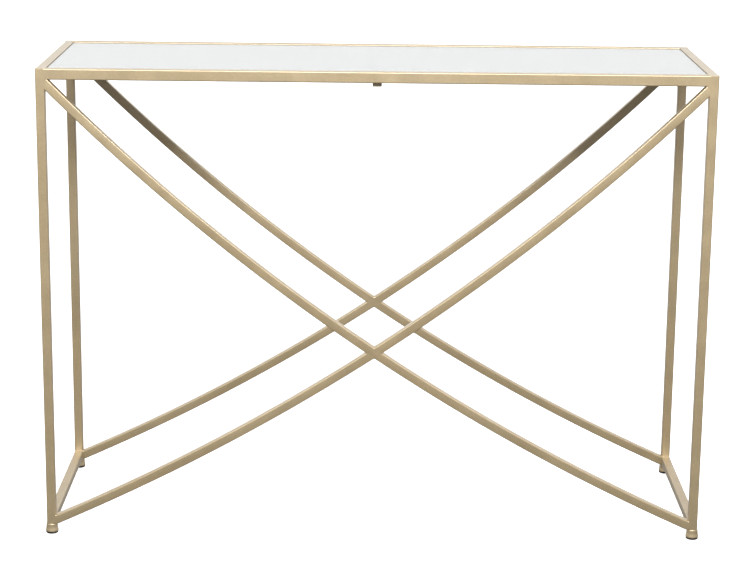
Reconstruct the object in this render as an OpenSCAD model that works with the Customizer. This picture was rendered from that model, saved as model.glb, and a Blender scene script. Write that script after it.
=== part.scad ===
// Slim console table: a frame of square steel tube with a mirror pane let into the top,
// a pair of curved tubes crossed in the front plane and in the rear plane, and screw-in feet.
// The origin is the centre of the footprint on the floor. +X runs along the table, -Y is its front.

/* [Table] */
// Length of the top frame
table_w = 1100; // [900:10:1400]
// Depth of the top frame
table_d = 360; // [280:10:450]
// Height from the floor to the top of the rails
table_h = 790; // [720:5:860]

/* [Frame tube] */
// Width of the square tube
tube = 15; // [14:0.5:18]
// Height of the four top rails
rail_h = 18; // [15:0.5:20]
// Wall thickness of the tube
wall = 1.5; // [1:0.1:1.6]
// Outside corner radius of the tube
corner_r = 1.8; // [1.7:0.1:2.4]

/* [Crossed braces] */
// Drop of a brace's centre line below the top rail, where it meets the leg
brace_drop = 6; // [5:0.5:20]
// Rise of a brace's centre line above the leg's lower end, where it meets the leg
brace_rise = 6; // [5:0.5:20]
// Sag of a brace's curve below a straight line between its two ends
brace_sag = 60.5; // [20:0.5:90]
// Gap that the weld fills where a halved brace meets the unbroken one
weld_gap = 0.2; // [0.1:0.1:0.5]

/* [Mirror pane] */
// Depth of the glass below the top of the rails
pane_recess = 1.5; // [1:0.5:4]
// Thickness of the glass
glass_t = 4; // [3:1:4]
// Gap between the pane and the rails, on each side
pane_gap = 1; // [0.5:0.25:2]
// Width of the ground bevel along the edges of the glass
glass_arris = 0.6; // [0.3:0.1:1]
// Thickness of the backing board
board_t = 3; // [2:0.5:3]
// Width of the ledge strips that carry the pane
ledge_w = 8; // [7:0.5:14]
// Height of the centre support bar
support_h = 15; // [10:0.5:16]

/* [Feet] */
// Height of a foot, screwed in as far as it goes
foot_h = 17.5; // [15:0.5:24]
// Radius of a foot at its rim
foot_r = 10.75; // [10:0.25:13]
// Radius of a foot at its collar
collar_r = 9.5; // [8:0.1:9.6]
// Radius of the threaded stud
stud_r = 3.95; // [2.95:0.05:3.95]
// Length of the threaded stud above the cup
stud_reach = 23; // [18:1:30]
// Height of the nut in the leg
nut_h = 12; // [8:1:16]

/* [Hidden] */

// Finishes
gold = [0.80, 0.71, 0.55];
zinc = [0.72, 0.73, 0.74];
silver = [0.88, 0.89, 0.90];
clear_glass = [0.78, 0.86, 0.84, 0.4];
fibreboard = [0.45, 0.33, 0.22];
felt = [0.30, 0.30, 0.31];
black_rubber = [0.12, 0.11, 0.11];

// Smoothness of small circles and of the braces' large arcs
small_fn = 48;
arc_fn = 900;

// Levels, counted from the floor
rail_z = table_h - rail_h;
glass_z = table_h - pane_recess - glass_t;
silver_t = 0.15;
board_z = glass_z - silver_t - board_t;
felt_t = 2;
ledge_t = 2;
ledge_top = board_z - felt_t;

// Inside of the top frame
opening_w = table_w - 2 * tube;
opening_d = table_d - 2 * tube;
pane_w = opening_w - 2 * pane_gap;
pane_d = opening_d - 2 * pane_gap;

// Places of the legs: left to right and front to rear
leg_x = table_w / 2 - tube / 2;
leg_y = table_d / 2 - tube / 2;
front = -1;
rear = 1;
left = -1;
right = 1;

// One brace is an arc in an XZ plane, from the top left to the bottom right
half_span = table_w / 2 - tube;
brace_top = rail_z - brace_drop;
brace_foot = foot_h + brace_rise;
brace_chord = norm([2 * half_span, brace_top - brace_foot]);
brace_r = (brace_chord * brace_chord / 4 + brace_sag * brace_sag) / (2 * brace_sag);
chord_normal = [brace_top - brace_foot, 2 * half_span] / brace_chord;
brace_centre = [0, (brace_top + brace_foot) / 2] + chord_normal * (brace_r - brace_sag);
brace_from = atan2(brace_top - brace_centre.y, -half_span - brace_centre.x);
brace_to = atan2(brace_foot - brace_centre.y, half_span - brace_centre.x);
// The arc overshoots both ends before it is trimmed
overshoot = 0.6;
trim = 1;

// Foot: clearances, and levels counted from the floor
slip = 0.05;
clear = 0.3;
pad_lip = 3;
cup_rim_z = pad_lip + clear;
pad_top = 4.2;
cup_roof = pad_top + clear;
spigot_r = 3;
stud_seat = 7;

// Solid outline of a tube with rounded corners
module tube_outline(w, h, r) {
    square([w - 2 * r, h], center = true);
    square([w, h - 2 * r], center = true);
    for (x = [-1, 1], y = [-1, 1])
        translate([x * (w / 2 - r), y * (h / 2 - r)])
            circle(r = r, $fn = small_fn);
}

module tube_section(w, h) {
    difference() {
        tube_outline(w, h, corner_r);
        tube_outline(w - 2 * wall, h - 2 * wall, corner_r - wall);
    }
}

// Top rail along X with its outer face at y = 0 and its top at z = 0. Both ends are mitred,
// and the outer corners of the frame are ground to the tube's own corner radius.
module mitred_rail(length, depth) {
    mitre = length / 2 + trim;
    intersection() {
        translate([0, tube / 2, -rail_h / 2])
            rotate([90, 0, 90])
                linear_extrude(length, center = true)
                    tube_section(tube, rail_h);
        translate([0, 0, -rail_h - trim])
            linear_extrude(rail_h + 2 * trim)
                polygon([
                    [-mitre, -trim], [mitre, -trim],
                    [mitre - tube - 2 * trim, tube + trim], [-mitre + tube + 2 * trim, tube + trim]
                ]);
        translate([0, depth / 2, -rail_h - trim])
            linear_extrude(rail_h + 2 * trim)
                tube_outline(length, depth, corner_r);
    }
}

module front_rail(length, depth) {
    color(gold)
        translate([0, -depth / 2, table_h])
            mitred_rail(length, depth);
}

module front_top_rail() { front_rail(table_w, table_d); }
module rear_top_rail() { rotate([0, 0, 180]) front_rail(table_w, table_d); }
module left_top_rail() { rotate([0, 0, -90]) front_rail(table_d, table_w); }
module right_top_rail() { rotate([0, 0, 90]) front_rail(table_d, table_w); }

module leg(side, end) {
    color(gold)
        translate([side * leg_x, end * leg_y, foot_h])
            linear_extrude(rail_z - foot_h)
                tube_section(tube, tube);
}

// Band that follows the brace's arc, with the 2D section given as its child
module brace_sweep(end) {
    translate([brace_centre.x, end * leg_y, brace_centre.y])
        rotate([90, 0, 0])
            rotate([0, 0, brace_from - overshoot])
                rotate_extrude(angle = brace_to - brace_from + 2 * overshoot, $fn = arc_fn)
                    translate([brace_r, 0])
                        children();
}

// Brace trimmed against both legs, the top rail and the lower ends of the legs
module trimmed_brace(end, from_x, to_x) {
    intersection() {
        children();
        translate([from_x, end * leg_y - tube, foot_h])
            cube([to_x - from_x, 2 * tube, rail_z - foot_h]);
    }
}

module long_brace(end) {
    color(gold)
        trimmed_brace(end, -half_span, half_span)
            brace_sweep(end)
                tube_section(tube, tube);
}

// Half of the other diagonal, cut back to the faces of the unbroken brace
module half_brace(end, from_x, to_x) {
    color(gold)
        trimmed_brace(end, from_x, to_x)
            difference() {
                mirror([1, 0, 0])
                    brace_sweep(end)
                        tube_section(tube, tube);
                brace_sweep(end)
                    square([tube + 2 * weld_gap, 2 * tube], center = true);
            }
}

module upper_brace(end) { half_brace(end, 0, half_span); }
module lower_brace(end) { half_brace(end, -half_span, 0); }

// Bottom stretcher between a front and a rear leg, level with their lower ends
module stretcher(side) {
    color(gold)
        translate([side * leg_x, 0, foot_h + tube / 2])
            rotate([90, 0, 0])
                linear_extrude(opening_d, center = true)
                    tube_section(tube, tube);
}

// Bar across the frame under the middle of the pane
module centre_support_bar() {
    color(gold)
        translate([0, 0, ledge_top - support_h / 2])
            rotate([90, 0, 0])
                linear_extrude(opening_d - 2 * wall, center = true)
                    tube_section(tube, support_h);
}

// Plate that closes one end of the support bar
module bar_end_plate(end) {
    color(gold)
        translate([0, end * (opening_d - wall) / 2, ledge_top - support_h / 2])
            rotate([90, 0, 0])
                linear_extrude(wall, center = true)
                    tube_outline(tube, support_h, corner_r);
}

// Ledge along the front or the rear rail, in two lengths that stop at the support bar
module long_ledge(end) {
    length = opening_w / 2 - tube / 2;
    color(gold)
        for (side = [left, right])
            translate([side * (tube + length) / 2, end * (opening_d - ledge_w) / 2, ledge_top - ledge_t / 2])
                cube([length, ledge_w, ledge_t], center = true);
}

module side_ledge(side) {
    color(gold)
        translate([side * (opening_w - ledge_w) / 2, 0, ledge_top - ledge_t / 2])
            cube([ledge_w, opening_d - 2 * ledge_w, ledge_t], center = true);
}

// Felt dots on the ledges and on the support bar
module pane_felt_dots() {
    dot_r = ledge_w * 0.4;
    edge_y = (opening_d - ledge_w) / 2;
    edge_x = (opening_w - ledge_w) / 2;
    color(felt)
        translate([0, 0, ledge_top]) {
            for (x = [-0.45, -0.15, 0.15, 0.45], end = [front, rear])
                translate([x * opening_w, end * edge_y])
                    cylinder(h = felt_t, r = dot_r, $fn = small_fn);
            for (side = [left, right])
                translate([side * edge_x, 0])
                    cylinder(h = felt_t, r = dot_r, $fn = small_fn);
            for (y = [-0.25, 0.25])
                translate([0, y * opening_d])
                    cylinder(h = felt_t, r = dot_r, $fn = small_fn);
        }
}

module pane_layer(z, t, inset) {
    translate([0, 0, z + t / 2])
        cube([pane_w - 2 * inset, pane_d - 2 * inset, t], center = true);
}

module backing_board() {
    color(fibreboard)
        pane_layer(board_z, board_t, glass_arris);
}

module mirror_silvering() {
    color(silver)
        pane_layer(glass_z - silver_t, silver_t, glass_arris);
}

// Outline of a slab with a bevel on each of its four corners
module bevelled_slab(width, t) {
    x = width / 2;
    y = t / 2;
    b = glass_arris;
    polygon([
        [x - b, -y], [x, -y + b], [x, y - b], [x - b, y],
        [-x + b, y], [-x, y - b], [-x, -y + b], [-x + b, -y]
    ]);
}

module mirror_glass() {
    color(clear_glass)
        translate([0, 0, glass_z + glass_t / 2])
            intersection() {
                rotate([90, 0, 0])
                    linear_extrude(pane_d, center = true)
                        bevelled_slab(pane_w, glass_t);
                rotate([90, 0, 90])
                    linear_extrude(pane_w, center = true)
                        bevelled_slab(pane_d, glass_t);
            }
}

module at_foot(side, end) {
    translate([side * leg_x, end * leg_y, 0])
        children();
}

// Nut pressed in the lower end of a leg, with the thread as a plain bore
module leg_nut(side, end) {
    inner = tube - 2 * wall;
    color(zinc)
        at_foot(side, end)
            translate([0, 0, foot_h])
                difference() {
                    linear_extrude(nut_h)
                        tube_outline(inner - 2 * slip, inner - 2 * slip, corner_r - wall);
                    translate([0, 0, -trim])
                        cylinder(h = nut_h + 2 * trim, r = stud_r + slip, $fn = small_fn);
                }
}

// Half section of the bell: a collar with a rounded shoulder that flares out to a rim
module cup_profile() {
    top = foot_h - clear;
    shoulder_r = 2;
    rim_top = cup_rim_z + 2.2;
    flare_w = foot_r - collar_r;
    flare_h = top - shoulder_r - rim_top;
    flare_r = (flare_h * flare_h + flare_w * flare_w) / (2 * flare_w);
    square([collar_r, top - shoulder_r]);
    square([collar_r - shoulder_r, top]);
    translate([collar_r - shoulder_r, top - shoulder_r])
        circle(r = shoulder_r, $fn = small_fn);
    difference() {
        square([foot_r, rim_top + flare_h]);
        translate([collar_r + flare_r, rim_top + flare_h])
            circle(r = flare_r, $fn = 4 * small_fn);
    }
}

module foot_cup(side, end) {
    skirt = 0.7;
    color(gold)
        at_foot(side, end) {
            difference() {
                rotate_extrude($fn = 2 * small_fn)
                    cup_profile();
                translate([0, 0, -trim])
                    cylinder(h = cup_rim_z + trim, r = foot_r + trim, $fn = 2 * small_fn);
                translate([0, 0, cup_rim_z - trim])
                    cylinder(h = cup_roof - cup_rim_z + trim, r = foot_r - skirt, $fn = 2 * small_fn);
                translate([0, 0, stud_seat])
                    cylinder(h = foot_h, r = stud_r + slip, $fn = small_fn);
            }
            translate([0, 0, pad_lip])
                cylinder(h = cup_roof - pad_lip + slip, r = spigot_r, $fn = small_fn);
        }
}

module foot_stud(side, end) {
    tip = 0.8;
    height = foot_h + stud_reach - stud_seat;
    color(zinc)
        at_foot(side, end)
            translate([0, 0, stud_seat]) {
                cylinder(h = height - tip, r = stud_r, $fn = small_fn);
                translate([0, 0, height - tip])
                    cylinder(h = tip, r1 = stud_r, r2 = stud_r - tip, $fn = small_fn);
            }
}

// Pad that clips round the cup's spigot, with its neck inside the rim
module foot_pad(side, end) {
    lip_r = foot_r - 0.3;
    neck_r = foot_r - 1;
    heel = 0.5;
    color(black_rubber)
        at_foot(side, end)
            difference() {
                union() {
                    cylinder(h = heel, r1 = lip_r - heel, r2 = lip_r, $fn = 2 * small_fn);
                    translate([0, 0, heel])
                        cylinder(h = pad_lip - heel, r = lip_r, $fn = 2 * small_fn);
                    translate([0, 0, pad_lip])
                        cylinder(h = pad_top - pad_lip, r = neck_r, $fn = 2 * small_fn);
                }
                translate([0, 0, pad_lip - clear])
                    cylinder(h = pad_top, r = spigot_r + slip, $fn = small_fn);
            }
}

front_top_rail();
rear_top_rail();
left_top_rail();
right_top_rail();
leg(left, front);  // front_left_leg
leg(right, front);  // front_right_leg
leg(left, rear);  // rear_left_leg
leg(right, rear);  // rear_right_leg
long_brace(front);  // front_long_brace
upper_brace(front);  // front_upper_brace
lower_brace(front);  // front_lower_brace
long_brace(rear);  // rear_long_brace
upper_brace(rear);  // rear_upper_brace
lower_brace(rear);  // rear_lower_brace
stretcher(left);  // left_bottom_stretcher
stretcher(right);  // right_bottom_stretcher
centre_support_bar();
bar_end_plate(front);  // front_bar_end_plate
bar_end_plate(rear);  // rear_bar_end_plate
long_ledge(front);  // front_pane_ledge
long_ledge(rear);  // rear_pane_ledge
side_ledge(left);  // left_pane_ledge
side_ledge(right);  // right_pane_ledge
pane_felt_dots();
backing_board();
mirror_silvering();
mirror_glass();
leg_nut(left, front);  // front_left_leg_nut
leg_nut(right, front);  // front_right_leg_nut
leg_nut(left, rear);  // rear_left_leg_nut
leg_nut(right, rear);  // rear_right_leg_nut
foot_cup(left, front);  // front_left_foot_cup
foot_cup(right, front);  // front_right_foot_cup
foot_cup(left, rear);  // rear_left_foot_cup
foot_cup(right, rear);  // rear_right_foot_cup
foot_stud(left, front);  // front_left_foot_stud
foot_stud(right, front);  // front_right_foot_stud
foot_stud(left, rear);  // rear_left_foot_stud
foot_stud(right, rear);  // rear_right_foot_stud
foot_pad(left, front);  // front_left_foot_pad
foot_pad(right, front);  // front_right_foot_pad
foot_pad(left, rear);  // rear_left_foot_pad
foot_pad(right, rear);  // rear_right_foot_pad
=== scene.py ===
"""Looks of a slim console table: champagne-gold square tube, an inset mirror pane and screw-in feet.

The scene is in metres: +X runs along the table, -Y is its front and +Z is up. The welds, braces and
studs are worked out in millimetres.
"""

import math

import bmesh
import bpy
import numpy as np
from mathutils import Matrix, Vector


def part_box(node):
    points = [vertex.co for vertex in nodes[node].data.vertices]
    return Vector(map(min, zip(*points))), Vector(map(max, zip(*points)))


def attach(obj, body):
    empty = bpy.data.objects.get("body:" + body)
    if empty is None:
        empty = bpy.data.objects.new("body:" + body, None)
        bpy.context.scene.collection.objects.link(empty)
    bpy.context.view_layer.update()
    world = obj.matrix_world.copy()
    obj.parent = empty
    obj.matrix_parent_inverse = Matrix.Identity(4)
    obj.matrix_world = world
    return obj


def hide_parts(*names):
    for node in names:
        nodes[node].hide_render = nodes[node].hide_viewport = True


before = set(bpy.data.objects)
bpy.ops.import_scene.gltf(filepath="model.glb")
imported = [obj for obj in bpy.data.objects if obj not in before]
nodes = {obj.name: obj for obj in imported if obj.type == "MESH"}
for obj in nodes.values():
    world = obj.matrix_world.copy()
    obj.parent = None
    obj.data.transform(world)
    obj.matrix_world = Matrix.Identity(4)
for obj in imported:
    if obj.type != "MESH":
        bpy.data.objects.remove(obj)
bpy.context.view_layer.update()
scene = bpy.context.scene
MM = 0.001

# ---------------------------------------------------------------- camera

SENSOR_MM = 36.0
LENS_MM = 101.2176
CLIP_NEAR, CLIP_FAR = 0.05, 200
CAMERA_AT = (-0.0137, -3.5472, 1.2656)
CAMERA_YAW, CAMERA_PITCH, CAMERA_ROLL = (math.radians(a) for a in (-0.232, 13.721, -0.644))


def make_camera():
    """The photograph's camera: a long lens, in front of the table and a little above its top."""
    data = bpy.data.cameras.new("camera")
    data.sensor_width = SENSOR_MM
    data.lens = LENS_MM
    data.clip_start, data.clip_end = CLIP_NEAR, CLIP_FAR
    camera = bpy.data.objects.new("camera", data)
    scene.collection.objects.link(camera)
    yaw = Matrix.Rotation(-CAMERA_YAW, 3, "Z")
    pitch = Matrix.Rotation(CAMERA_PITCH, 3, "X")
    roll = Matrix.Rotation(-CAMERA_ROLL, 3, "Y")
    to_view = roll @ pitch @ yaw
    right, ahead, up = (to_view[i] for i in range(3))
    turn = Matrix((right, up, -ahead)).transposed().to_4x4()
    camera.matrix_world = Matrix.Translation(CAMERA_AT) @ turn
    scene.camera = camera


make_camera()

# ---------------------------------------------------------------- node helpers


class Graph:
    """The node tree of a material or of the world, with short calls for the nodes used here."""

    def __init__(self, tree):
        self.tree = tree
        tree.nodes.clear()

    def node(self, kind, sockets=None, **properties):
        """New node with these inputs, by name or by number, and these properties."""
        made = self.tree.nodes.new(kind)
        for name, value in properties.items():
            setattr(made, name, value)
        for name, value in (sockets or {}).items():
            self.put(made.inputs[name], value)
        return made

    def put(self, socket, value):
        """Gives a socket another socket, a node's first output, a number or a colour."""
        if isinstance(value, bpy.types.NodeSocket):
            self.tree.links.new(value, socket)
        elif isinstance(value, bpy.types.Node):
            self.tree.links.new(value.outputs[0], socket)
        else:
            socket.default_value = value

    def average(self, a, b):
        """Half of a and half of b."""
        halves = [self.node("ShaderNodeMath", {0: part, 1: 0.5}, operation="MULTIPLY") for part in (a, b)]
        return self.node("ShaderNodeMath", {0: halves[0], 1: halves[1]}, operation="ADD").outputs[0]

    def noise(self, place, scale, detail=2.0, rough=0.5):
        """Noise with about this many features to the metre."""
        sockets = {"Vector": place, "Scale": scale, "Detail": detail, "Roughness": rough}
        return self.node("ShaderNodeTexNoise", sockets).outputs["Fac"]

    def ramp(self, value, low, high, to_low=0.0, to_high=1.0, kind="SMOOTHSTEP"):
        """Value moved from one range to another, and held at the ends."""
        sockets = {"Value": value, "From Min": low, "From Max": high, "To Min": to_low, "To Max": to_high}
        return self.node("ShaderNodeMapRange", sockets, interpolation_type=kind).outputs[0]

    def mix(self, share, a, b):
        """Colour between a, where share is 0, and b, where it's 1."""
        return self.node("ShaderNodeMix", {0: share, 6: a, 7: b}, data_type="RGBA").outputs[2]

    def bump(self, height, distance, below=None):
        """Normal of a relief this high, in metres, on top of another one if given."""
        made = self.node("ShaderNodeBump", {"Height": height, "Distance": distance, "Strength": 1.0})
        if below is not None:
            self.put(made.inputs["Normal"], below)
        return made.outputs[0]

    def stretch(self, place, scale, turn=0.0):
        """Coordinates scaled along each axis and turned about Z."""
        sockets = {"Vector": place, "Scale": scale, "Rotation": (0.0, 0.0, turn)}
        return self.node("ShaderNodeMapping", sockets).outputs[0]


def rgb(*channels):
    """An sRGB colour, 0 to 255, as the linear colour that a shader takes."""
    shares = [channel / 255 for channel in channels]
    linear = [share / 12.92 if share <= 0.04045 else ((share + 0.055) / 1.055) ** 2.4 for share in shares]
    return (*linear, 1.0)


def new_material(name):
    """New material with its graph, its shader and the coordinates to paint it by."""
    made = bpy.data.materials.new(name)
    made.use_nodes = True
    graph = Graph(made.node_tree)
    out = graph.node("ShaderNodeOutputMaterial")
    shader = graph.node("ShaderNodeBsdfPrincipled")
    graph.put(out.inputs["Surface"], shader)
    place = graph.node("ShaderNodeTexCoord").outputs["Object"]
    return made, graph, shader, place


# ---------------------------------------------------------------- materials

PAINT_METALLIC = 0.5
PAINT_COAT_ROUGHNESS = 0.36
PAINT_COAT_IOR = 2.05
FLAKE_TINT, SPECK_TINT = rgb(246, 232, 204), rgb(118, 92, 58)


def gold_paint(name, light, dark, roughness, coat):
    """Champagne metallic paint: fine flake, mottled tone, dark specks and a faint orange peel."""
    made, g, shader, place = new_material(name)
    flake = g.noise(place, 3600, 1.0)
    mottle = g.noise(place, 260, 3.0, 0.6)
    tone = g.noise(place, 9, 3.0, 0.55)
    speck = g.noise(place, 900, 2.0)
    base = g.mix(g.average(g.ramp(tone, 0.35, 0.65), g.ramp(mottle, 0.3, 0.7)), dark, light)
    base = g.mix(g.ramp(flake, 0.56, 0.72, 0.0, 0.35), base, FLAKE_TINT)
    base = g.mix(g.ramp(speck, 0.62, 0.75, 0.0, 0.22), base, SPECK_TINT)
    g.put(shader.inputs["Base Color"], base)
    shader.inputs["Metallic"].default_value = PAINT_METALLIC
    smear = g.noise(place, 28, 3.0)
    g.put(shader.inputs["Roughness"], g.ramp(smear, 0.3, 0.7, roughness - 0.05, roughness + 0.06))
    shader.inputs["Coat Weight"].default_value = coat
    shader.inputs["Coat Roughness"].default_value = PAINT_COAT_ROUGHNESS
    shader.inputs["Coat IOR"].default_value = PAINT_COAT_IOR
    peel = g.noise(place, 420, 2.0)
    grain = g.bump(flake, 0.00002)
    g.put(shader.inputs["Normal"], g.bump(peel, 0.00005, below=grain))
    return made


def zinc_plate(name):
    """Bright zinc plate with turned marks and a faint blue and yellow cast."""
    made, g, shader, place = new_material(name)
    cast = g.noise(place, 60, 3.0)
    base = g.mix(g.ramp(cast, 0.4, 0.6), rgb(196, 200, 206), rgb(214, 208, 190))
    grime = g.noise(place, 700, 3.0)
    base = g.mix(g.ramp(grime, 0.6, 0.75, 0.0, 0.4), base, rgb(120, 116, 108))
    g.put(shader.inputs["Base Color"], base)
    shader.inputs["Metallic"].default_value = 1.0
    g.put(shader.inputs["Roughness"], g.ramp(grime, 0.3, 0.7, 0.22, 0.42))
    turned = g.noise(g.stretch(place, (1.0, 1.0, 30.0)), 400, 2.0)
    g.put(shader.inputs["Normal"], g.bump(turned, 0.00002))
    return made


def clear_glass(name):
    """Float glass: faint green, very slightly uneven, a few wipe marks in the roughness."""
    made, g, shader, place = new_material(name)
    tint = g.noise(place, 3, 1.0)
    g.put(shader.inputs["Base Color"], g.mix(tint, rgb(252, 255, 254), rgb(250, 254, 253)))
    shader.inputs["Transmission Weight"].default_value = 1.0
    shader.inputs["IOR"].default_value = 1.5
    wipe = g.noise(g.stretch(place, (1.0, 7.0, 1.0), 0.5), 6, 4.0)
    g.put(shader.inputs["Roughness"], g.ramp(wipe, 0.5, 0.75, 0.0, 0.012))
    return made


def silvering(name):
    """Mirror silvering, seen through the glass, with a trace of tarnish."""
    made, g, shader, place = new_material(name)
    age = g.noise(place, 14, 4.0)
    base = g.mix(g.ramp(age, 0.55, 0.8), rgb(246, 247, 248), rgb(240, 240, 238))
    g.put(shader.inputs["Base Color"], base)
    shader.inputs["Metallic"].default_value = 1.0
    g.put(shader.inputs["Roughness"], g.ramp(age, 0.3, 0.8, 0.012, 0.03))
    return made


def hardboard(name):
    """Brown pressed fibreboard: matted fibres, darker flecks, the mesh print of its back."""
    made, g, shader, place = new_material(name)
    long_fibre = g.noise(g.stretch(place, (1.0, 5.0, 1.0), 0.6), 170, 3.0)
    cross_fibre = g.noise(g.stretch(place, (5.0, 1.0, 1.0), 0.3), 190, 3.0)
    fibre = g.average(long_fibre, cross_fibre)
    base = g.mix(g.ramp(fibre, 0.38, 0.62), rgb(92, 66, 44), rgb(140, 106, 74))
    base = g.mix(g.ramp(g.noise(place, 600, 2.0), 0.62, 0.72, 0.0, 0.5), base, rgb(60, 42, 28))
    g.put(shader.inputs["Base Color"], base)
    g.put(shader.inputs["Roughness"], g.ramp(fibre, 0.3, 0.7, 0.62, 0.82))
    along, across = (
        g.node("ShaderNodeTexWave", {"Vector": place, "Scale": 130.0}, bands_direction=axis).outputs["Fac"]
        for axis in ("X", "Y")
    )
    mesh_print = g.node("ShaderNodeMath", {0: along, 1: across}, operation="MULTIPLY").outputs[0]
    g.put(shader.inputs["Normal"], g.bump(mesh_print, 0.0002, below=g.bump(fibre, 0.0001)))
    return made


def felt(name):
    """Grey felt with a short nap."""
    made, g, shader, place = new_material(name)
    fluff = g.noise(place, 1500, 4.0, 0.7)
    base = g.mix(g.ramp(fluff, 0.35, 0.65), rgb(52, 52, 54), rgb(96, 96, 98))
    g.put(shader.inputs["Base Color"], base)
    shader.inputs["Roughness"].default_value = 0.95
    shader.inputs["Sheen Weight"].default_value = 0.6
    shader.inputs["Sheen Roughness"].default_value = 0.5
    g.put(shader.inputs["Normal"], g.bump(fluff, 0.0002))
    return made


def rubber(name):
    """Dark rubber, dusty in places."""
    made, g, shader, place = new_material(name)
    dust = g.noise(place, 240, 4.0, 0.6)
    base = g.mix(g.ramp(dust, 0.45, 0.75), rgb(34, 30, 28), rgb(62, 56, 50))
    g.put(shader.inputs["Base Color"], base)
    g.put(shader.inputs["Roughness"], g.ramp(dust, 0.3, 0.7, 0.5, 0.72))
    g.put(shader.inputs["Normal"], g.bump(g.noise(place, 2600, 2.0), 0.00003))
    return made


MATERIALS = {
    "gold_frame": gold_paint("gold_frame_paint", rgb(212, 190, 148), rgb(197, 173, 129), 0.42, 1.0),
    "gold_feet": gold_paint("gold_feet_plate", rgb(214, 192, 152), rgb(200, 176, 134), 0.40, 0.8),
    "zinc": zinc_plate("zinc_plate"),
    "glass": clear_glass("clear_float_glass"),
    "silvering": silvering("mirror_silvering_coat"),
    "board": hardboard("brown_hardboard"),
    "felt": felt("grey_felt"),
    "rubber": rubber("black_rubber"),
}


def dress_nodes():
    """Gives each CAD node the finish of the slot that its packed material names."""
    for node in nodes.values():
        for slot in node.material_slots:
            slot.material = MATERIALS[slot.material.name.split(".")[0]]


dress_nodes()


SILVERING_GAP = 0.02 * MM


def part_silvering_from_glass():
    """Draws the silvering's faces in a little, so that none lies in the same plane as the glass."""
    shrink = nodes["mirror_silvering"].modifiers.new("clear_of_glass", "DISPLACE")
    shrink.strength = -SILVERING_GAP
    shrink.mid_level = 0.0


part_silvering_from_glass()

# ---------------------------------------------------------------- tubes and welds, in millimetres


def box_mm(name):
    """Lowest and highest corner of a CAD node."""
    return [[c / MM for c in corner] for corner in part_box(name)]


LEG_LOW, LEG_HIGH = box_mm("front_left_leg")
RAIL_LOW, RAIL_HIGH = box_mm("front_top_rail")
OUTER_X, OUTER_Y = -LEG_LOW[0], -LEG_LOW[1]
INNER_X, INNER_Y = -LEG_HIGH[0], -LEG_HIGH[1]
TOP, RAIL_Z, LEG_Z = RAIL_HIGH[2], RAIL_LOW[2], LEG_LOW[2]
TUBE = OUTER_X - INNER_X
MID_X, MID_Y = OUTER_X - TUBE / 2, OUTER_Y - TUBE / 2
WALL = 1.5
CORNER_R = 1.8

# A brace is an arc from the top left to the bottom right, in the plane of the legs. Its middle line starts
# this far below the rail, ends this far above the leg's lower end, and sags this much between them.
BRACE_DROP, BRACE_RISE, BRACE_SAG = 6.0, 6.0, 60.5
BRACE_TOP, BRACE_FOOT = RAIL_Z - BRACE_DROP, LEG_Z + BRACE_RISE
CHORD = math.hypot(2 * INNER_X, BRACE_TOP - BRACE_FOOT)
ARC_R = (CHORD**2 / 4 + BRACE_SAG**2) / (2 * BRACE_SAG)
ARC_X = (BRACE_TOP - BRACE_FOOT) / CHORD * (ARC_R - BRACE_SAG)
ARC_Z = (BRACE_TOP + BRACE_FOOT) / 2 + 2 * INNER_X / CHORD * (ARC_R - BRACE_SAG)
CROSSING_Z = ARC_Z - math.sqrt(ARC_R**2 - ARC_X**2)

# A ground weld has this fillet, stands this proud of the tubes, lies this deep in them at its border, and
# goes from one to the other over this length. Its faces are about NET_STEP wide.
FILLET = 1.4
PROUD = 0.05
SUNK = 0.3
FADE = 2.0
NET_STEP = 0.7

# How far the corner welds reach from the table's corner, and the crossing welds from their middle
CORNER_REACH = 36
TOP_WELD_H, BOTTOM_WELD_H = 52, 36
BRACE_FOOT_REACH = 50
CROSSING_REACH_X, CROSSING_REACH_Z = 30, 24

# A weld's points are moved onto its surface in a few rounds, along the slope of its distance field. Points
# in the border get no normal of their own, and all points stay this far inside the box of the CAD model.
SETTLE_ROUNDS = 6
LEAST_SLOPE, LEAST_NORMAL = 0.2, 0.001
SLOPE_STEP, NORMAL_STEP = 0.01, 0.05
BORDER_W = 0.2
CAD_BOX_GAP = 0.01


def span(t, low, high):
    """Distance from the stretch between low and high, negative inside."""
    return np.maximum(low - t, t - high)


def brace_band(x, z, side):
    """Distance from the faces of the brace that falls to the right (side 1) or to the left (side -1)."""
    return np.abs(np.hypot(side * x - ARC_X, z - ARC_Z) - ARC_R) - TUBE / 2


def fillet_union(a, b):
    """Distance from two shapes joined by a weld's fillet."""
    reach = np.maximum(FILLET - np.abs(a - b), 0) / FILLET
    return np.minimum(a, b) - reach**2 * FILLET / 4


def rounded_plate(flat, across):
    """Distance from a plate of the tube's width whose outline is flat, with the tube's corner radius."""
    a, b = flat + CORNER_R, np.abs(across) - TUBE / 2 + CORNER_R
    return np.minimum(np.maximum(a, b), 0) + np.hypot(np.maximum(a, 0), np.maximum(b, 0)) - CORNER_R


def top_joint(x, y, z):
    """Distance from the front left top corner: two rails, a leg and the upper end of a brace."""
    rail = span(z, RAIL_Z, TOP)
    leg_top = z - TOP + TUBE / 2
    front = fillet_union(rail, np.maximum(span(x, -OUTER_X, -INNER_X), leg_top))
    front = fillet_union(front, np.maximum(brace_band(x, z, 1), -MID_X - x))
    side = fillet_union(rail, np.maximum(span(y, -OUTER_Y, -INNER_Y), leg_top))
    return np.minimum(
        rounded_plate(np.maximum(front, -OUTER_X - x), y + MID_Y),
        rounded_plate(np.maximum(side, -OUTER_Y - y), x + MID_X),
    )


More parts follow.
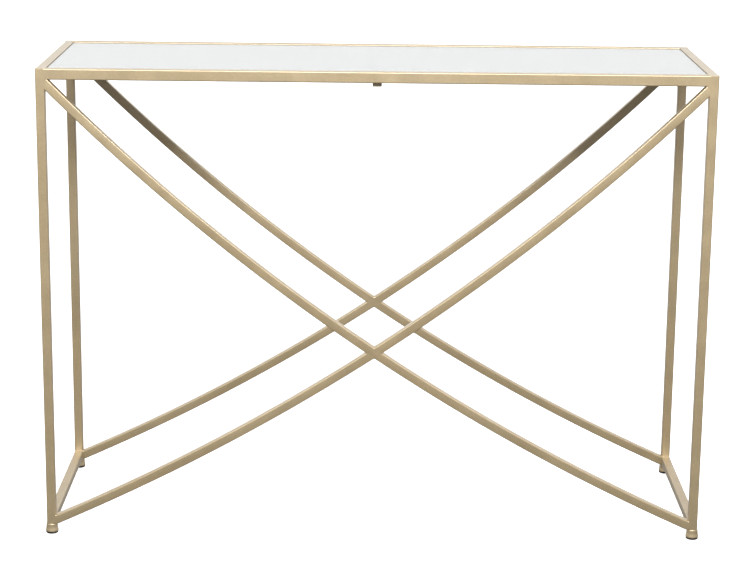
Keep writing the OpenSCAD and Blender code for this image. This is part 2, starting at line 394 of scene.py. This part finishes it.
def bottom_joint(x, y, z):
    """Distance from the front left bottom corner: a leg's open end, a stretcher and a brace's lower end."""
    stretcher = np.maximum(z - LEG_Z - TUBE, -MID_Y - y)
    brace = np.maximum(brace_band(x, z, -1), -MID_X - x)
    front = np.maximum(fillet_union(span(x, -OUTER_X, -INNER_X), brace), LEG_Z - z)
    side = np.maximum(fillet_union(span(y, -OUTER_Y, -INNER_Y), stretcher), LEG_Z - z)
    solid = np.minimum(rounded_plate(front, y + MID_Y), rounded_plate(side, x + MID_X))
    bore = np.maximum(np.abs(x + MID_X), np.abs(y + MID_Y)) - TUBE / 2 + WALL
    return np.maximum(solid, -bore)


def crossing(x, y, z):
    """Distance from the middle of the front X, where its two diagonals meet."""
    return rounded_plate(fillet_union(brace_band(x, z, 1), brace_band(x, z, -1)), y + MID_Y)


def surface_net(field, low, high, step):
    """Vertices and quads of the surface where field is 0: one vertex to each grid cell that it passes."""
    axes = [np.arange(a - step, b + 2 * step, step) for a, b in zip(low, high)]
    inside = field(*np.meshgrid(*axes, indexing="ij")) < 0
    # How many of each cell's eight corners lie inside
    corners = sum(
        inside[i : i - 1 or None, j : j - 1 or None, k : k - 1 or None].astype(int)
        for i in (0, 1)
        for j in (0, 1)
        for k in (0, 1)
    )
    mixed = (corners > 0) & (corners < 8)
    number = np.full(mixed.shape, -1)
    number[mixed] = np.arange(mixed.sum())
    points = np.stack([axis[i] + step / 2 for axis, i in zip(axes, np.nonzero(mixed))], axis=1)
    quads = []
    for axis in range(3):
        order = [axis, (axis + 1) % 3, (axis + 2) % 3]
        solid, cell = np.transpose(inside, order), np.transpose(number, order)
        i, j, k = np.nonzero(solid[:-1, 1:-1, 1:-1] != solid[1:, 1:-1, 1:-1])
        around = ((0, 0), (1, 0), (1, 1), (0, 1))
        ring = np.stack([cell[i, j + a, k + b] for a, b in around], axis=1)
        outward = solid[i, j + 1, k + 1]
        quads.append(np.where(outward[:, None], ring, ring[:, ::-1]))
    return points, np.concatenate(quads)


def slope(field, points, step):
    """Gradient of field at the points."""
    columns = []
    for axis in range(3):
        shift = np.zeros(3)
        shift[axis] = step
        columns.append((field(*(points + shift).T) - field(*(points - shift).T)) / (2 * step))
    return np.stack(columns, axis=1)


def joint_skin(joint, low, high, open_sides):
    """Points, quads and normals of a ground weld, proud of the tubes and sunk in them at its border.

    Each open side is an axis, the side of the limit that the weld lies on (1 for below it) and the limit.
    """

    def border(x, y, z):
        gaps = [sign * (limit - (x, y, z)[axis]) for axis, sign, limit in open_sides]
        return np.minimum.reduce(gaps)

    def field(x, y, z):
        gap = border(x, y, z)
        share = np.clip(gap / FADE, 0, 1)
        return np.maximum(joint(x, y, z) - PROUD * share + SUNK * (1 - share), -gap)

    points, quads = surface_net(field, low, high, NET_STEP)
    for _ in range(SETTLE_ROUNDS):
        steep = slope(field, points, SLOPE_STEP)
        length = np.maximum((steep**2).sum(axis=1), LEAST_SLOPE)
        points = points - np.clip(field(*points.T) / length, -NET_STEP, NET_STEP)[:, None] * steep
    normals = slope(joint, points, NORMAL_STEP)
    normals /= np.maximum(np.linalg.norm(normals, axis=1), LEAST_NORMAL)[:, None]
    # A zero normal leaves Blender's own, which suits the end faces inside the tubes
    normals[border(*points.T) < BORDER_W] = 0
    limit = np.array([OUTER_X, OUTER_Y, TOP]) - CAD_BOX_GAP
    return np.clip(points, [-limit[0], -limit[1], LEG_Z + CAD_BOX_GAP], limit), quads, normals


def add_mesh(name, points, faces, normals=None, flip=(1, 1)):
    """New piece from millimetres, mirrored left to right or front to rear where flip is -1."""
    sign = np.array([*flip, 1])
    mesh = bpy.data.meshes.new(name)
    if flip[0] * flip[1] < 0:
        faces = [list(face)[::-1] for face in faces]
    places = (np.asarray(points) * sign * MM).tolist()
    mesh.from_pydata(places, [], [list(map(int, face)) for face in faces])
    mesh.polygons.foreach_set("use_smooth", [True] * len(mesh.polygons))
    if normals is not None:
        mesh.normals_split_custom_set_from_vertices((normals * sign).tolist())
    mesh.update()
    piece = bpy.data.objects.new(name, mesh)
    scene.collection.objects.link(piece)
    return piece


def finish_piece(piece, body, slot_name):
    """Gives a new piece its material, and the body that carries it."""
    piece.data.materials.append(MATERIALS[slot_name])
    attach(piece, body)


def top_weld_skin():
    """Skin of the weld at the front left leg's upper end."""
    far_x, far_y, below = CORNER_REACH - OUTER_X, CORNER_REACH - OUTER_Y, TOP - TOP_WELD_H
    open_sides = [(0, 1, far_x), (1, 1, far_y), (2, -1, below)]
    return joint_skin(top_joint, [-OUTER_X, -OUTER_Y, below], [far_x, far_y, TOP], open_sides)


def bottom_weld_skin():
    """Skin of the weld at the front left leg's lower end, which reaches further along the brace."""
    far_x, far_y, above = BRACE_FOOT_REACH - OUTER_X, CORNER_REACH - OUTER_Y, LEG_Z + BOTTOM_WELD_H
    open_sides = [(0, 1, far_x), (1, 1, far_y), (2, 1, above)]
    return joint_skin(bottom_joint, [-OUTER_X, -OUTER_Y, LEG_Z], [far_x, far_y, above], open_sides)


def crossing_weld_skin():
    """Skin of the weld where the front braces cross."""
    far, below, above = CROSSING_REACH_X, CROSSING_Z - CROSSING_REACH_Z, CROSSING_Z + CROSSING_REACH_Z
    open_sides = [(0, 1, far), (0, -1, -far), (2, 1, above), (2, -1, below)]
    return joint_skin(crossing, [-far, -OUTER_Y, below], [far, -INNER_Y, above], open_sides)


def make_welds():
    """A weld at both ends of each leg and one on each X, all mirrored from the front left ones."""
    top, bottom, cross = top_weld_skin(), bottom_weld_skin(), crossing_weld_skin()
    for end, y_sign in (("front", 1), ("rear", -1)):
        for side, x_sign in (("left", 1), ("right", -1)):
            for part, skin in (("top", top), ("bottom", bottom)):
                weld = add_mesh(f"{end}_{side}_{part}_weld", *skin, flip=(x_sign, y_sign))
                finish_piece(weld, "root", "gold_frame")
        weld = add_mesh(f"{end}_crossing_weld", *cross, flip=(1, y_sign))
        finish_piece(weld, "root", "gold_frame")


# Steps round each corner of a tube, the angle in radians from which an edge is sharp, and how near in metres
# a point has to be to lie on a cutting plane
CORNER_STEPS = 8
SHARP_ANGLE = 0.5
ON_PLANE = 1e-7

# A brace runs on this far past its ends before it's trimmed, and its halves stop this far from the crossing
BRACE_OVERRUN, BRACE_STOP = 9, 12
LONG_STEPS, UPPER_STEPS, LOWER_STEPS = 96, 56, 48


def loft_sides(rows, count):
    """Quads between rings of count points each, one row of quads to each pair of rings."""
    quads = []
    for row in range(rows):
        for step in range(count):
            a, b = row * count + step, row * count + (step + 1) % count
            quads.append((a, b, b + count, a + count))
    return quads


def loft_caps(rows, count):
    """The first ring, turned over, and the last."""
    return [tuple(reversed(range(count))), tuple(range(rows * count, (rows + 1) * count))]


def tube_ring():
    """Outline of the square tube, across the arc and along Y."""
    ring = []
    inner = TUBE / 2 - CORNER_R
    for quarter, (u, v) in enumerate(((1, 1), (-1, 1), (-1, -1), (1, -1))):
        for step in range(CORNER_STEPS + 1):
            angle = math.pi / 2 * (quarter + step / CORNER_STEPS)
            ring.append((inner * u + CORNER_R * math.cos(angle), inner * v + CORNER_R * math.sin(angle)))
    return ring


def make_brace(name, side, y_sign, start, stop, steps):
    """Bent square tube along the arc between two angles, trimmed as the CAD node is.

    It falls to the right for side 1 and to the left for side -1, in the front for y_sign 1.
    """
    ring = tube_ring()
    arc_centre = np.array([ARC_X, -MID_Y, ARC_Z])
    along_y = np.array([0.0, 1.0, 0.0])
    points = []
    for angle in np.linspace(start, stop, steps + 1):
        out = np.array([math.cos(angle), 0, math.sin(angle)])
        points += [arc_centre + (ARC_R + u) * out + v * along_y for u, v in ring]
    faces = loft_sides(steps, len(ring)) + loft_caps(steps, len(ring))
    piece = add_mesh(name + "_tube", points, faces, flip=(side, y_sign))
    trim_piece(piece)
    finish_piece(piece, "root", "gold_frame")
    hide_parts(name)


def trim_piece(piece):
    """Cuts a brace off at the legs' inner faces, the rail's underside and the legs' lower ends."""
    work = bmesh.new()
    work.from_mesh(piece.data)
    for at, outward in (
        ((INNER_X, 0, 0), (1, 0, 0)),
        ((-INNER_X, 0, 0), (-1, 0, 0)),
        ((0, 0, RAIL_Z), (0, 0, 1)),
        ((0, 0, LEG_Z), (0, 0, -1)),
    ):
        cut = bmesh.ops.bisect_plane(
            work, geom=[*work.verts, *work.edges, *work.faces], dist=ON_PLANE,
            plane_co=[c * MM for c in at], plane_no=outward, clear_outer=True,
        )
        edges = [made for made in cut["geom_cut"] if isinstance(made, bmesh.types.BMEdge)]
        if edges:
            bmesh.ops.holes_fill(work, edges=edges, sides=0)
    bmesh.ops.recalc_face_normals(work, faces=work.faces)
    for edge in work.edges:
        edge.smooth = len(edge.link_faces) == 2 and edge.calc_face_angle() < SHARP_ANGLE
    work.to_mesh(piece.data)
    work.free()


def make_braces():
    """The unbroken braces and the halved ones, whose gap at the crossing the weld covers."""
    first = math.atan2(BRACE_TOP - ARC_Z, -INNER_X - ARC_X)
    last = math.atan2(BRACE_FOOT - ARC_Z, INNER_X - ARC_X)
    middle = math.atan2(CROSSING_Z - ARC_Z, -ARC_X)
    over, short = BRACE_OVERRUN / ARC_R, BRACE_STOP / ARC_R
    for end, y_sign in (("front", 1), ("rear", -1)):
        make_brace(f"{end}_long_brace", 1, y_sign, first - over, last + over, LONG_STEPS)
        make_brace(f"{end}_upper_brace", -1, y_sign, first - over, middle - short, UPPER_STEPS)
        make_brace(f"{end}_lower_brace", -1, y_sign, middle + short, last + over, LOWER_STEPS)


# M8 coarse thread
THREAD_PITCH = 1.25
THREAD_DEPTH = 0.68
STUD_CHAMFER = 1.2
STUD_STEPS_ROUND, STUD_STEPS_PITCH = 28, 6


def thread_groove(phase):
    """Share of the thread's depth at a phase of its pitch: a flat root, sloping flanks and a flat crest."""
    return min(1.0, max(0.0, 1.25 - abs(phase - 0.5) * 4))


def make_stud(name, body, x, y):
    """M8 stud with a rolled thread, chamfered at its tip."""
    low, high = box_mm(name)
    major, length = (high[0] - low[0]) / 2, high[2] - low[2]
    rows = int(length / THREAD_PITCH * STUD_STEPS_PITCH)
    points = []
    for row in range(rows + 1):
        z = length * row / rows
        cap = major - max(0.0, STUD_CHAMFER - (length - z))
        for step in range(STUD_STEPS_ROUND):
            turn = step / STUD_STEPS_ROUND
            groove = thread_groove((z / THREAD_PITCH - turn) % 1)
            radius = min(major - THREAD_DEPTH * groove, cap)
            angle = 2 * math.pi * turn
            points.append((x + radius * math.cos(angle), y + radius * math.sin(angle), low[2] + z))
    faces = loft_sides(rows, STUD_STEPS_ROUND) + loft_caps(rows, STUD_STEPS_ROUND)
    piece = add_mesh(name + "_thread", points, faces)
    finish_piece(piece, body, "zinc")
    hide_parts(name)


def make_studs():
    """A stud in each foot."""
    for end, y_sign in (("front", -1), ("rear", 1)):
        for side, x_sign in (("left", -1), ("right", 1)):
            foot = f"{end}_{side}_foot"
            make_stud(foot + "_stud", foot, x_sign * MID_X, y_sign * MID_Y)


make_welds()
make_braces()
make_studs()

# ---------------------------------------------------------------- studio, in metres

FLOOR_Z = -0.0055
FLOOR_R, SWEEP_R, WALL_TOP = 8.0, 1.5, 7.0
FLOOR_STEPS_ROUND, SWEEP_STEPS = 96, 8
FLOOR_GLOW = 1.0


def floor_paint():
    """Matt pale paint with a white glow, so that the camera sees an even background."""
    made, g, shader, place = new_material("pale_floor")
    speck = g.noise(place, 3, 2.0)
    g.put(shader.inputs["Base Color"], g.mix(speck, (0.93, 0.93, 0.93, 1), (0.95, 0.95, 0.95, 1)))
    shader.inputs["Roughness"].default_value = 0.9
    shader.inputs["Specular IOR Level"].default_value = 0.1
    shader.inputs["Emission Color"].default_value = (1, 1, 1, 1)
    shader.inputs["Emission Strength"].default_value = FLOOR_GLOW
    return made


def make_floor():
    """Floor that sweeps up into a round wall, for the camera only: the world lights the table instead.

    It lies just below the pads of feet that are screwed out all the way.
    """
    outline = [(FLOOR_R, 0.0)]
    for step in range(1, SWEEP_STEPS + 1):
        bend = math.pi / 2 * step / SWEEP_STEPS
        outline.append((FLOOR_R + SWEEP_R * math.sin(bend), SWEEP_R * (1 - math.cos(bend))))
    outline.append((FLOOR_R + SWEEP_R, WALL_TOP))
    verts = []
    for radius, height in outline:
        for step in range(FLOOR_STEPS_ROUND):
            turn = 2 * math.pi * step / FLOOR_STEPS_ROUND
            verts.append((radius * math.cos(turn), radius * math.sin(turn), FLOOR_Z + height))
    disc = tuple(range(FLOOR_STEPS_ROUND))
    wall = [side[::-1] for side in loft_sides(len(outline) - 1, FLOOR_STEPS_ROUND)]
    mesh = bpy.data.meshes.new("studio_floor")
    mesh.from_pydata(verts, [], [disc, *wall])
    mesh.materials.append(floor_paint())
    floor = bpy.data.objects.new("studio_floor", mesh)
    scene.collection.objects.link(floor)
    floor.visible_diffuse = False
    floor.visible_glossy = False
    floor.visible_transmission = False
    floor.visible_shadow = False


# The studio's brightness behind the table and before it, from straight down to straight up. Each pair is the
# sine of the angle above the horizon and the brightness there.
BRIGHTEST = 4.0
BEHIND = (
    (-1.0, 0.05), (-0.5, 0.08), (-0.3, 0.3), (-0.1, 0.7), (0.0, 1.12),
    (0.27, 1.12), (0.42, 0.35), (0.8, 0.3), (0.98, 0.7),
)
BEFORE = (
    (-1.0, 0.05), (-0.5, 0.08), (-0.25, 0.10), (0.0, 0.15), (0.13, 0.9),
    (0.5, 0.9), (0.65, 0.5), (0.85, 0.3), (0.98, 0.7),
)

# One profile gives way to the other between these Y parts of a direction: 0 is the side and 1 the rear
BEFORE_ENDS, BEHIND_STARTS = 0.15, 0.6


def profile(g, height, stops):
    """Brightness at a height, as a share of BRIGHTEST."""
    ramp = g.node("ShaderNodeValToRGB", {0: g.ramp(height, -1.0, 1.0, kind="LINEAR")})
    elements = ramp.color_ramp.elements
    while len(elements) < len(stops):
        elements.new(1.0)
    for element, (at, value) in zip(elements, stops):
        element.position = (at + 1) / 2
        element.color = (value / BRIGHTEST,) * 3 + (1.0,)
    return ramp.outputs["Color"]


def make_world():
    """White backdrop behind, up to a low ceiling, a broad pale light before, and little from below."""
    world = bpy.data.worlds.new("studio")
    world.use_nodes = True
    scene.world = world
    g = Graph(world.node_tree)
    way = g.node("ShaderNodeTexCoord").outputs["Generated"]
    axes = g.node("ShaderNodeSeparateXYZ", {0: way})
    behind = g.ramp(axes.outputs["Y"], BEFORE_ENDS, BEHIND_STARTS)
    height = axes.outputs["Z"]
    light = g.mix(behind, profile(g, height, BEFORE), profile(g, height, BEHIND))
    sky = g.node("ShaderNodeBackground", {"Color": light, "Strength": BRIGHTEST})
    out = g.node("ShaderNodeOutputWorld")
    g.put(out.inputs["Surface"], sky)


LAMPS_AIM = Vector((0.0, 0.0, 0.7))


def softbox(name, at, width, height, power):
    """Rectangular lamp turned to the table. It shows in the face of the glass, not in the silvering."""
    data = bpy.data.lights.new(name, "AREA")
    data.shape = "RECTANGLE"
    data.size, data.size_y = width, height
    data.energy = power
    lamp = bpy.data.objects.new(name, data)
    scene.collection.objects.link(lamp)
    lamp.visible_transmission = False
    facing = (LAMPS_AIM - Vector(at)).normalized()
    lamp.matrix_world = Matrix.Translation(at) @ facing.to_track_quat("-Z", "Y").to_matrix().to_4x4()


make_floor()
make_world()
softbox("front_softbox", (0.0, -2.1, 2.0), width=2.8, height=0.6, power=72)
softbox("rear_softbox", (0.0, 2.6, 1.9), width=2.6, height=0.8, power=3)

scene.view_settings.view_transform = "Standard"
scene.view_settings.look = "None"
scene.view_settings.exposure = 0.0
scene.view_settings.gamma = 1.0
